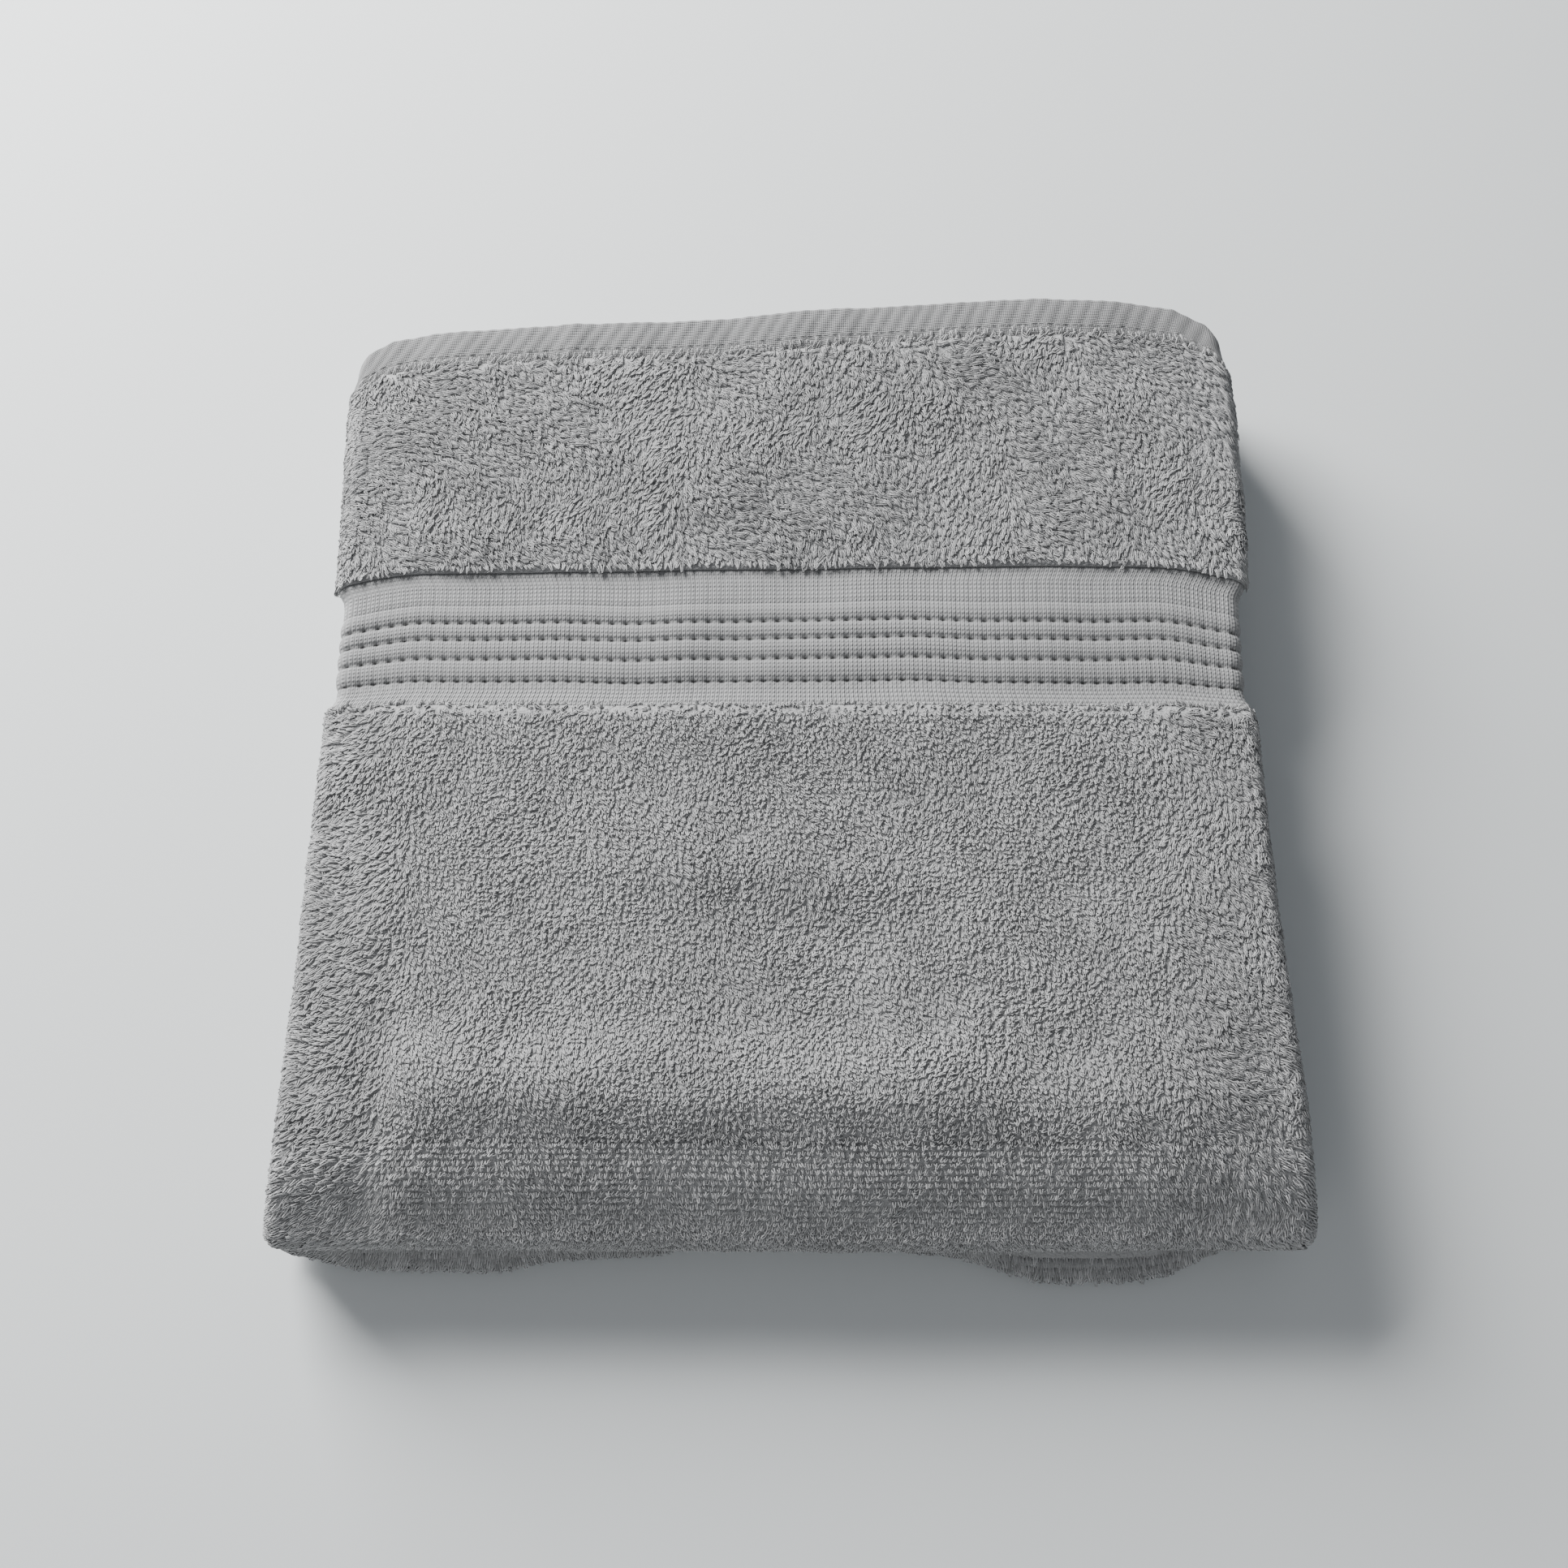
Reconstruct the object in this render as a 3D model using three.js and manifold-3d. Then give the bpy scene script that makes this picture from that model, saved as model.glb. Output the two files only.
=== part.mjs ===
// A terry bath towel, folded as it lies on a shelf. Millimetres, +Z up.
// Both long edges are folded in to the middle (the side flaps), the towel is halved end to end,
// and then halved again like a book. X runs across the towel, +Y points to its far edge, where both
// ends lie, and the rounded front roll is at -Y. The origin is under the middle of the folded towel.
import * as THREE from "three";
import { mergeVertices } from "three/addons/utils/BufferGeometryUtils.js";
import Module from "manifold-3d";

const manifold = await Module();
manifold.setup();

// ---- Driving dimensions ----
const foldedWidth = 350; // across the two side creases
const foldedDepth = 358; // from the front roll to the far hem
const terryThickness = 6.25; // one layer of cloth with the loops of both faces
const weaveThickness = 3.2; // one layer of the flat-woven dobby border
const hemThickness = 4.2; // one layer of the turned and stitched end and side hems
const layerGap = 0.3; // clearance between any two neighbouring pieces
const centreGap = 5; // between the two side flaps, where their edges meet
const sideHemWidth = 9; // turned edge along each long side
const endHemLength = 14; // turned edge at each end
const endStripLength = 96; // terry between the end hem and the dobby border
const borderLength = 55; // dobby border, measured along the towel
const backCreaseInset = 4; // how far the back crease stays short of the far hem
const innerEndInset = 6; // how far the inner ply's end stays short of the far hem
const stitchWidth = 0.9; // thread of the hem seam
const stitchHeight = 0.5;
const stitchInset = 3; // from the hem's inner edge to its seam
const rollSections = 6; // stretches of cloth that bend in turn as the front roll unrolls
const facetsPerSection = 2;

// ---- Worked out from them ----
const plyThickness = 2 * terryThickness + layerGap; // face layer over the side flaps
const plyPitch = plyThickness + layerGap;
const foldedHeight = 4 * plyThickness + 3 * layerGap;
const midHeight = foldedHeight / 2;
const rollRadius = foldedHeight / 2;
const frontY = -foldedDepth / 2;
const farY = foldedDepth / 2;
const rollAxisY = frontY + rollRadius;
const noseRadius = plyThickness + layerGap / 2; // outer radius of a ply turned back on itself
const backCreaseY = farY - backCreaseInset - noseRadius;
const sectionAngle = Math.PI / rollSections;
const turnSegments = 2 * rollSections * facetsPerSection; // facets in a full turn
const creaseDivisions = 4; // facets in a quarter turn of a side crease

const terryMaterial = () => new THREE.MeshStandardMaterial({ color: 0x8b8b8b, roughness: 0.95 });
const weaveMaterial = () => new THREE.MeshStandardMaterial({ color: 0x969696, roughness: 0.85 });
const hemMaterial = () => new THREE.MeshStandardMaterial({ color: 0x9b9b9b, roughness: 0.88 });
const threadMaterial = () => new THREE.MeshStandardMaterial({ color: 0xa3a3a3, roughness: 0.7 });

function named(name, geometry, material) {
  const mesh = new THREE.Mesh(geometry, material);
  mesh.name = name;
  return mesh;
}

// A layer of some thickness lies in the middle of the space that a terry layer takes.
function foldOf(layerThickness) {
  const inset = (terryThickness - layerThickness) / 2;
  const outerRadius = plyThickness / 2 - inset;
  return {
    inset,
    layerThickness,
    outerRadius,
    innerRadius: outerRadius - layerThickness,
    creaseX: foldedWidth / 2 - inset - outerRadius,
  };
}

// The right half of a ply's section: x across, y from the flap side up to the face side.
// It runs from the top of the crease round to the flap's edge at edgeX, and back inside.
function creaseAndFlap(fold, edgeX) {
  const { inset, layerThickness, outerRadius, innerRadius, creaseX } = fold;
  const middle = plyThickness / 2;
  const outline = new THREE.Shape();
  outline.moveTo(creaseX, plyThickness - inset);
  outline.absarc(creaseX, middle, outerRadius, Math.PI / 2, -Math.PI / 2, true);
  outline.lineTo(edgeX, inset);
  outline.lineTo(edgeX, inset + layerThickness);
  outline.lineTo(creaseX, inset + layerThickness);
  outline.absarc(creaseX, middle, innerRadius, -Math.PI / 2, Math.PI / 2, false);
  return outline.getPoints(creaseDivisions);
}

const mirrored = (points) => points.map((p) => new THREE.Vector2(-p.x, p.y)).reverse();

// The whole section of a ply, face layer and both flaps in one outline.
function wholeSection(fold) {
  const right = creaseAndFlap(fold, centreGap / 2);
  return new THREE.Shape([...right, ...mirrored(right)]);
}

// Stands a section up and runs it along the towel from nearY, for length millimetres.
// A ply that lies face down is turned about its length.
function layAlong(name, section, material, { nearY, length, baseZ, faceUp }) {
  const geometry = new THREE.ExtrudeGeometry(section, { depth: length, bevelEnabled: false });
  const mesh = named(name, geometry, material);
  mesh.rotation.x = faceUp ? Math.PI / 2 : -Math.PI / 2;
  mesh.position.y = faceUp ? nearY + length : nearY;
  mesh.position.z = faceUp ? baseZ : baseZ + plyThickness;
  return mesh;
}

// One straight stretch of a ply's terry: face panel, two flaps and the side hems at their edges.
function plyField(prefix, place) {
  const fold = foldOf(terryThickness);
  const { nearY, length, baseZ, faceUp } = place;
  const hemX = centreGap / 2;
  const flap = creaseAndFlap(fold, hemX + sideHemWidth + layerGap);
  const faceMidZ = faceUp ? baseZ + plyThickness - terryThickness / 2 : baseZ + terryThickness / 2;
  const flapMidZ = 2 * baseZ + plyThickness - faceMidZ;
  const panelWidth = 2 * (fold.creaseX - layerGap);

  const panel = new THREE.BoxGeometry(panelWidth, length, terryThickness);
  const meshes = [named(`${prefix}_panel`, panel, terryMaterial())];
  meshes[0].position.set(0, nearY + length / 2, faceMidZ);
  for (const [side, sign] of [["left", -1], ["right", 1]]) {
    const section = new THREE.Shape(sign > 0 ? flap : mirrored(flap));
    meshes.push(layAlong(`${prefix}_${side}_flap`, section, terryMaterial(), place));
    const hem = new THREE.BoxGeometry(sideHemWidth, length, hemThickness);
    const hemMesh = named(`${prefix}_${side}_side_hem`, hem, hemMaterial());
    hemMesh.position.set(sign * (hemX + sideHemWidth / 2), nearY + length / 2, flapMidZ);
    meshes.push(hemMesh);
  }
  return meshes;
}

// The woven zones at one end of the towel, from its hem in: hem, seam, end strip and border.
// Returns their meshes and the near end of the border, where the ply's terry field starts.
function endZones(prefix, { endY, baseZ, faceUp }) {
  const zones = [
    ["end_hem", endHemLength, hemThickness, hemMaterial],
    ["end_strip", endStripLength, terryThickness, terryMaterial],
    ["dobby_border", borderLength, weaveThickness, weaveMaterial],
  ];
  const meshes = [];
  let nearY = endY;
  for (const [zone, zoneLength, thickness, material] of zones) {
    nearY -= zoneLength;
    const place = { nearY: nearY + layerGap, length: zoneLength - layerGap, baseZ, faceUp };
    meshes.push(layAlong(`${prefix}_${zone}`, wholeSection(foldOf(thickness)), material(), place));
  }
  meshes.push(hemSeam(prefix, { endY, baseZ, faceUp }));
  return { meshes, fieldEndY: nearY };
}

// The row of thread that holds an end hem down, on the cloth's face.
function hemSeam(prefix, { endY, baseZ, faceUp }) {
  const fold = foldOf(hemThickness);
  const bar = new THREE.BoxGeometry(2 * fold.creaseX, stitchWidth, stitchHeight);
  const mesh = named(`${prefix}_hem_seam`, bar, threadMaterial());
  const above = layerGap + stitchHeight / 2 - fold.inset;
  mesh.position.y = endY - endHemLength + layerGap + stitchInset;
  mesh.position.z = faceUp ? baseZ + plyThickness + above : baseZ - above;
  return mesh;
}

function toManifold(geometry) {
  const bare = geometry.index ? geometry.toNonIndexed() : geometry.clone();
  bare.deleteAttribute("normal");
  bare.deleteAttribute("uv");
  const merged = mergeVertices(bare, 1e-4);
  const vertProperties = new Float32Array(merged.attributes.position.array);
  const triVerts = new Uint32Array(merged.index.array);
  return new manifold.Manifold(new manifold.Mesh({ numProp: 3, vertProperties, triVerts }));
}

function fromManifold(solid) {
  const { vertProperties, triVerts } = solid.getMesh();
  const geometry = new THREE.BufferGeometry();
  geometry.setAttribute("position", new THREE.BufferAttribute(vertProperties, 3));
  geometry.setIndex(new THREE.BufferAttribute(triVerts, 1));
  geometry.computeVertexNormals();
  return geometry;
}

// A ply's section turned about the X axis, with radiusOf giving the radius of each section height.
function turnedRing(radiusOf) {
  const section = wholeSection(foldOf(terryThickness)).getPoints();
  const profile = section.map((p) => new THREE.Vector2(radiusOf(p.y), p.x));
  if (THREE.ShapeUtils.area(profile) < 0) profile.reverse();
  profile.push(profile[0].clone());
  const ring = new THREE.LatheGeometry(profile, turnSegments);
  ring.rotateZ(-Math.PI / 2);
  return toManifold(ring);
}

// A sector about the X axis between two angles (0 points to +Y, a quarter turn points up), with
// each flat side set in by half the clearance.
function sector(from, to, reach) {
  const half = (to - from) / 2;
  const middle = (from + to) / 2;
  const along = (angle) => new THREE.Vector2(Math.cos(angle), Math.sin(angle)).multiplyScalar(reach);
  const apex = along(middle).setLength(layerGap / 2 / Math.sin(half));
  const outline = new THREE.Shape([
    apex,
    apex.clone().add(along(from)),
    apex.clone().add(along(from)).add(along(middle)),
    apex.clone().add(along(to)).add(along(middle)),
    apex.clone().add(along(to)),
  ]);
  const slab = new THREE.ExtrudeGeometry(outline, { depth: 2 * foldedWidth, bevelEnabled: false });
  slab.translate(0, 0, -foldedWidth);
  slab.rotateX(Math.PI / 2);
  slab.rotateZ(Math.PI / 2);
  return toManifold(slab);
}

function turnedPiece(name, ring, from, to, axisY, axisZ) {
  const solid = ring.intersect(sector(from, to, 3 * rollRadius));
  const mesh = named(name, fromManifold(solid), terryMaterial());
  mesh.position.set(0, axisY, axisZ);
  return mesh;
}

// The outer ply where it wraps round the front, in sections numbered from the bottom up.
function frontRoll() {
  const ring = turnedRing((height) => rollRadius - plyThickness + height);
  const group = new THREE.Group();
  for (let i = 0; i < rollSections; i += 1) {
    const to = 1.5 * Math.PI - i * sectionAngle;
    const from = to - sectionAngle;
    group.add(turnedPiece(`front_roll_${i + 1}`, ring, from, to, rollAxisY, midHeight));
  }
  return group;
}

// Base heights of the four plies, counted from the surface that the towel lies on.
const plyBase = (number) => number * plyPitch;

function outerTopPly() {
  const place = { endY: farY, baseZ: plyBase(3), faceUp: true };
  const { meshes, fieldEndY } = endZones("top", place);
  const nearY = rollAxisY + layerGap / 2;
  const field = { nearY, length: fieldEndY - nearY, baseZ: plyBase(3), faceUp: true };
  return new THREE.Group().add(...meshes, ...plyField("top", field));
}

function innerTopPly() {
  const place = { endY: farY - innerEndInset, baseZ: plyBase(2), faceUp: false };
  const { meshes, fieldEndY } = endZones("inner", place);
  const nearY = rollAxisY + layerGap / 2;
  const field = { nearY, length: fieldEndY - nearY, baseZ: plyBase(2), faceUp: false };
  const ring = turnedRing((height) => noseRadius - height);
  const turns = [Math.PI / 2, Math.PI];
  const crease = turnedPiece("inner_crease_upper", ring, ...turns, rollAxisY, midHeight);
  return new THREE.Group().add(crease, ...meshes, ...plyField("inner_upper", field));
}

function lowerHalf() {
  const nearY = rollAxisY + layerGap / 2;
  const length = backCreaseY - layerGap / 2 - nearY;
  const bottom = plyField("bottom", { nearY, length, baseZ: plyBase(0), faceUp: false });
  const inner = plyField("inner_lower", { nearY, length, baseZ: plyBase(1), faceUp: true });
  const noseRing = turnedRing((height) => noseRadius - height);
  const noseTurns = [Math.PI, 1.5 * Math.PI];
  const crease = turnedPiece("inner_crease_lower", noseRing, ...noseTurns, rollAxisY, midHeight);
  const backRing = turnedRing((height) => layerGap / 2 + height);
  const backTurns = [-Math.PI / 2, Math.PI / 2];
  const back = turnedPiece("back_crease", backRing, ...backTurns, backCreaseY, noseRadius);
  return new THREE.Group().add(...bottom, ...inner, crease, back);
}

const towel = new THREE.Group();
towel.name = "bath_towel";
towel.add(lowerHalf(), frontRoll(), innerTopPly(), outerTopPly());

export default towel;
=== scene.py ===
import bpy
import math
import numpy as np
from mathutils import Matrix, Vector


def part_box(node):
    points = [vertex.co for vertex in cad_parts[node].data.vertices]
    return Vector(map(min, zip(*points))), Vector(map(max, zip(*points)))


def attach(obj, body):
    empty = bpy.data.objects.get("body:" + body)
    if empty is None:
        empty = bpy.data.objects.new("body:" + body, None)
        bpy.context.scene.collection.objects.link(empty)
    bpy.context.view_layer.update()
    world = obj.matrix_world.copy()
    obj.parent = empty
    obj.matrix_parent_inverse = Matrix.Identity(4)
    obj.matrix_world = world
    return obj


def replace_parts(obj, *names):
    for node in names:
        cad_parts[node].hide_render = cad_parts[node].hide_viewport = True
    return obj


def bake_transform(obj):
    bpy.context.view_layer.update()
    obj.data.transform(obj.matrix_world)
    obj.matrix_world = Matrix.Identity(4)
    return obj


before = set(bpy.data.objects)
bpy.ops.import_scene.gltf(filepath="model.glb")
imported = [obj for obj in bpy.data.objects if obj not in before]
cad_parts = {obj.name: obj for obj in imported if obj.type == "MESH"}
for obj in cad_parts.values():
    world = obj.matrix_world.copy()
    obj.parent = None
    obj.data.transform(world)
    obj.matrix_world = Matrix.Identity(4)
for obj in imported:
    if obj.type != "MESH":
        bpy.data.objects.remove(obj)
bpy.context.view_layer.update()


# ---------------------------------------------------------------------------
# Sizes of the folded towel, read from the frame. Millimetres from here on.
# ---------------------------------------------------------------------------

def low(node):
    """The lower corner of a CAD node's box."""
    return np.array(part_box(node)[0]) * 1000


def high(node):
    """The upper corner of a CAD node's box."""
    return np.array(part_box(node)[1]) * 1000


HALF_WIDTH = high("top_right_flap")[0]
FAR_Y = high("top_end_hem")[1]
FRONT_Y = low("front_roll_3")[1]
PLY = high("bottom_right_flap")[2] - low("bottom_right_flap")[2]  # face and flaps together
TERRY = high("top_panel")[2] - low("top_panel")[2]
WEAVE = 3.2  # the border's thickness
HEM = high("top_right_side_hem")[2] - low("top_right_side_hem")[2]  # the hem's thickness
HEIGHT = high("top_right_flap")[2]
LOWER_BASE = low("inner_lower_right_flap")[2]
UPPER_BASE = low("inner_upper_right_flap")[2]
TOP_BASE = low("top_right_flap")[2]
MID_Z = HEIGHT / 2
ROLL_Y = FRONT_Y + MID_Z
GAP = LOWER_BASE - PLY  # between two plies
NOSE = PLY + GAP / 2  # half the height of two plies and their gap
BACK_Y = high("back_crease")[1] - NOSE
INNER_END_Y = high("inner_end_hem")[1]
HEM_LENGTH, STRIP_LENGTH, BORDER_LENGTH = 14.0, 96.0, 55.0
HEM_NEAR = FAR_Y - HEM_LENGTH
STRIP_NEAR = HEM_NEAR - STRIP_LENGTH
BORDER_NEAR = STRIP_NEAR - BORDER_LENGTH

# The cloth's section: u runs across the cloth from its middle, and the sides fold under.
CREASE_R = (PLY - TERRY) / 2
FACE_HALF = HALF_WIDTH - PLY / 2
ARC = math.pi * CREASE_R
FLAP_EDGE = 2.5  # each flap stops this far short of the middle
U_MAX = FACE_HALF + ARC + FACE_HALF - FLAP_EDGE
PILE_EDGE = FACE_HALF + .85 * ARC  # the outer pile reaches this far round the sides

# The cloth's path: s runs along the cloth from the top hem round the folds to the inner hem.
FACE_R = MID_Z - TERRY / 2
CREASE_LENGTH = 24.0
LENGTHS = [FAR_Y - ROLL_Y, math.pi * FACE_R, BACK_Y - ROLL_Y, math.pi * (NOSE - TERRY / 2),
           BACK_Y - ROLL_Y, CREASE_LENGTH, INNER_END_Y - ROLL_Y]
STARTS = np.concatenate([[0], np.cumsum(LENGTHS)])
TOP_PLY, ROLL, BOTTOM_PLY, BACK, LOWER_PLY, CREASE, INNER_PLY = range(7)


# ---------------------------------------------------------------------------
# Smooth noise, steps and hills
# ---------------------------------------------------------------------------

def noise(a, b, size, seed):
    """Smooth noise from -1 to 1 over two coordinates, with features about size long."""
    rng = np.random.default_rng(seed)
    grid = rng.uniform(-1, 1, (64, 64))
    x, y = np.asarray(a) / size + 31.7, np.asarray(b) / size + 17.3
    i, j = np.floor(x).astype(int), np.floor(y).astype(int)
    fx, fy = x - i, y - j
    fx, fy = fx * fx * (3 - 2 * fx), fy * fy * (3 - 2 * fy)
    i0, i1, j0, j1 = i % 64, (i + 1) % 64, j % 64, (j + 1) % 64
    near = grid[i0, j0] * (1 - fx) + grid[i1, j0] * fx
    far = grid[i0, j1] * (1 - fx) + grid[i1, j1] * fx
    return near * (1 - fy) + far * fy


def step(a, b, x):
    """A smooth step from 0 at a to 1 at b."""
    t = np.clip((x - a) / (b - a), 0, 1)
    return t * t * (3 - 2 * t)


def bump(x, middle, width):
    """A smooth hill of height 1."""
    return np.exp(-((x - middle) / width) ** 2)


# ---------------------------------------------------------------------------
# Where a point of the cloth lies
# ---------------------------------------------------------------------------

def section(u, off):
    """Across the towel and up from its ply's flap side, for a point off outward of the cloth's middle."""
    size = np.abs(u)
    angle = np.clip((size - FACE_HALF) / CREASE_R, 0, math.pi)
    flap = np.maximum(size - FACE_HALF - ARC, 0)
    r = CREASE_R + off
    x = np.sign(u) * (np.minimum(size, FACE_HALF) + r * np.sin(angle) - flap)
    return x, PLY / 2 + r * np.cos(angle)


# Angles round the roll are 90 on top, 180 in front and 270 underneath. A lip pushes the cloth forward
# and a groove pulls it back, each most at its own angle.
LIP_ANGLE, GROOVE_ANGLE = 236, 208
RIGHT_LIP, LEFT_LIP = 19, 15.5
RIGHT_GROOVE, LEFT_GROOVE = 5.0, 3.5


def front_shape(angle, x):
    """How far the roll's face comes forward: a groove low down with a lip under it, at both ends."""
    right = .47 * step(22, 44, x) + .53 * step(44, 88, x) - step(116, 172, x)
    left = .60 * step(-22, -48, x) + .40 * step(-48, -112, x) - .45 * step(-135, -178, x)
    uneven = 1 + .10 * noise(x, x * 0, 17, 14)
    lip = bump(angle, LIP_ANGLE, 17) * (RIGHT_LIP * right + LEFT_LIP * left) * uneven
    groove = bump(angle, GROOVE_ANGLE, 9) * (RIGHT_GROOVE * right + LEFT_GROOVE * left)
    return lip - groove


INNER_SHARE = .35  # how much of the roll's front shape its inner side takes
CREASE_PULL = .35  # the inner crease's inside stays behind its outside by this share of its height
CREASE_ROUND = 2 / 2.6  # the inner crease is a squarish curve: 1 would be a circle


def fold_path(s, h, x):
    """The place along and above the bed of a point h up from the flap side of its ply."""
    seg = np.clip(np.searchsorted(STARTS, s, side="right") - 1, 0, 6)
    t = s - STARTS[seg]
    part = t / np.array(LENGTHS)[seg]
    y, z = np.zeros_like(s), np.zeros_like(s)

    on = seg == TOP_PLY
    y[on], z[on] = FAR_Y - t[on], TOP_BASE + h[on]
    on = seg == ROLL
    angle = np.radians(90 + 180 * part[on])
    r = MID_Z - PLY + h[on]
    forward = front_shape(90 + 180 * part[on], x[on]) * (INNER_SHARE + (1 - INNER_SHARE) * h[on] / PLY)
    y[on], z[on] = ROLL_Y + r * np.cos(angle) - forward, MID_Z + r * np.sin(angle)
    on = seg == BOTTOM_PLY
    y[on], z[on] = ROLL_Y + t[on], PLY - h[on]
    on = seg == BACK
    angle = np.radians(-90 + 180 * part[on])
    r = GAP / 2 + h[on]
    y[on], z[on] = BACK_Y + r * np.cos(angle), NOSE + r * np.sin(angle)
    on = seg == LOWER_PLY
    y[on], z[on] = BACK_Y - t[on], LOWER_BASE + h[on]
    on = seg == CREASE
    angle = np.radians(270 - 180 * part[on])
    c, sn = np.cos(angle), np.sin(angle)
    reach = NOSE - CREASE_PULL * h[on]
    r = NOSE - h[on]
    y[on] = ROLL_Y - reach * np.abs(c) ** CREASE_ROUND
    z[on] = MID_Z + r * np.sign(sn) * np.abs(sn) ** CREASE_ROUND
    on = seg == INNER_PLY
    y[on], z[on] = ROLL_Y + t[on], UPPER_BASE + PLY - h[on]
    return y, z


# Change of width, as a share, by place along the towel; and by place along the cloth's path
WIDTH_AT = ([-185, -170, -145, -100, -57, 0, 69, 140, 164, 172, 180],
            [.030, .022, .012, -.002, -.010, -.016, -.012, -.004, -.003, -.014, -.018])
PLY_WIDTH = [0, .002, .006, 0, -.010, -.016, -.014, -.008]
# How far the far edge lies beyond the crisp fold, by place across the towel
FAR_EDGE = ([-176, -170, -160, -145, -120, -75, 0, 35, 70, 100, 135, 155, 168, 176],
            [-22, -14, -8, -5, -3, 0, 4.5, 7, 10, 11.5, 10, 7, 0, -10])
BORDER_MIDDLE = 42.0
DRAWN_IN = .017  # the woven border is narrower than the terry on both sides of it
SINK, MOST_RISE, MOST_SINK = 2.0, 3.6, 12


def widening(x, y, z, s):
    """The share by which the cloth is wider than the crisp fold."""
    wander = .006 * noise(s, x * 0 + 5, 70, 3) + .003 * noise(s, x * 0 + 9, 26, 4)
    low_down = .010 * (1 - np.clip(z / HEIGHT, 0, 1))
    on_border = step(BORDER_NEAR, BORDER_NEAR + 7, y) * (1 - step(STRIP_NEAR - 7, STRIP_NEAR, y))
    drawn_in = DRAWN_IN * on_border * step(38, 46, z)
    return (np.interp(y, *WIDTH_AT) + np.interp(s, STARTS, PLY_WIDTH)
            + wander * np.where(x > 0, 1, -.7) + low_down - drawn_in)


def sinking(x, y):
    """How far the top face lies below the crisp fold, before the even part of the sinking."""
    slanted = y + .05 * x
    crest = 1.7 * bump(slanted, -51, 12) * step(-100, -50, x) * (1 - step(10, 60, x))
    dent = .7 * bump(slanted, -72, 15) * step(-110, -60, x) * (1 - step(30, 90, x))
    front_crest = (5.4 * bump(y + .02 * x, -129, 18) * step(-150, -118, x)
                   * (1 - .55 * step(40, 90, x)) * (1 - step(120, 160, x)))
    fall = 8.5 * step(-128, -180, y)
    left_groove = 1.9 * bump(x, -141, 8) * step(-60, -95, y)
    far_dent = 1.2 * bump(x, 120, 30) * bump(y, 100, 40)
    waves = 1.0 * noise(x, y, 55, 5) + .55 * noise(x, y, 23, 6)
    sides = 1.4 * step(120, 176, np.abs(x)) * step(-40, 60, y)
    return dent + fall + left_groove + far_dent + waves + sides - crest - front_crest


def slump(x, y, z, s):
    """Takes the crisp fold to how the cloth lies: soft waves, dents and an uneven outline."""
    # Only what lies high up sinks, and over the roll that starts a little lower
    up = step(33 - 6.5 * step(-144, -160, y), 50, z)
    far = step(20, 178, y) * (.35 + .65 * step(28, 46, z))
    new_y = y + np.interp(x, *FAR_EDGE) * far
    new_y += 1.1 * noise(x, s, 60, 8) * step(60, 150, np.abs(y))
    new_y += 1.2 * noise(x, s * 0, 34, 12) * step(34, 12, np.abs(y - BORDER_MIDDLE)) * up
    new_y -= 4.0 * step(138, 176, np.abs(x)) * bump(y, 46, 34)
    new_z = z - up * np.clip(sinking(x, y) + SINK, -MOST_RISE, MOST_SINK)
    return x * (1 + widening(x, y, z, s)), new_y, np.maximum(new_z, z * .6)


def place(u, s, off):
    """Points in millimetres for cloth coordinates, off outward of the cloth's middle."""
    u, s, off = (np.asarray(a, float) for a in np.broadcast_arrays(u, s, off))
    shape = u.shape
    u, s, off = u.ravel(), s.ravel(), off.ravel()
    x, h = section(u, off)
    y, z = fold_path(s, h, x)
    return np.stack(slump(x, y, z, s), -1).reshape(*shape, 3)


# ---------------------------------------------------------------------------
# Meshes
# ---------------------------------------------------------------------------

def new_object(name, points, faces, material, uvs=None, values=None):
    """A mesh object in metres. faces is an array of quads or triangles, or a list of such arrays."""
    groups = faces if isinstance(faces, list) else [faces]
    mesh = bpy.data.meshes.new(name)
    loops = np.concatenate([g.ravel() for g in groups]).astype(np.int32)
    sizes = np.concatenate([np.full(len(g), g.shape[1]) for g in groups])
    starts = np.concatenate([[0], np.cumsum(sizes)[:-1]]).astype(np.int32)
    mesh.vertices.add(len(points))
    mesh.vertices.foreach_set("co", (points * .001).astype(np.float32).ravel())
    mesh.loops.add(len(loops))
    mesh.loops.foreach_set("vertex_index", loops)
    mesh.polygons.add(len(starts))
    mesh.polygons.foreach_set("loop_start", starts)
    mesh.polygons.foreach_set("use_smooth", np.full(len(starts), True))
    mesh.update(calc_edges=True)
    for uv_name, coords in (uvs or {}).items():
        layer = mesh.uv_layers.new(name=uv_name)
        layer.uv.foreach_set("vector", coords.astype(np.float32).ravel())
    for value_name, data in (values or {}).items():
        attribute = mesh.attributes.new(value_name, "FLOAT", "POINT")
        attribute.data.foreach_set("value", data.astype(np.float32))
    mesh.validate()
    mesh.materials.append(material)
    obj = bpy.data.objects.new(name, mesh)
    bpy.context.scene.collection.objects.link(obj)
    return obj


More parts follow.
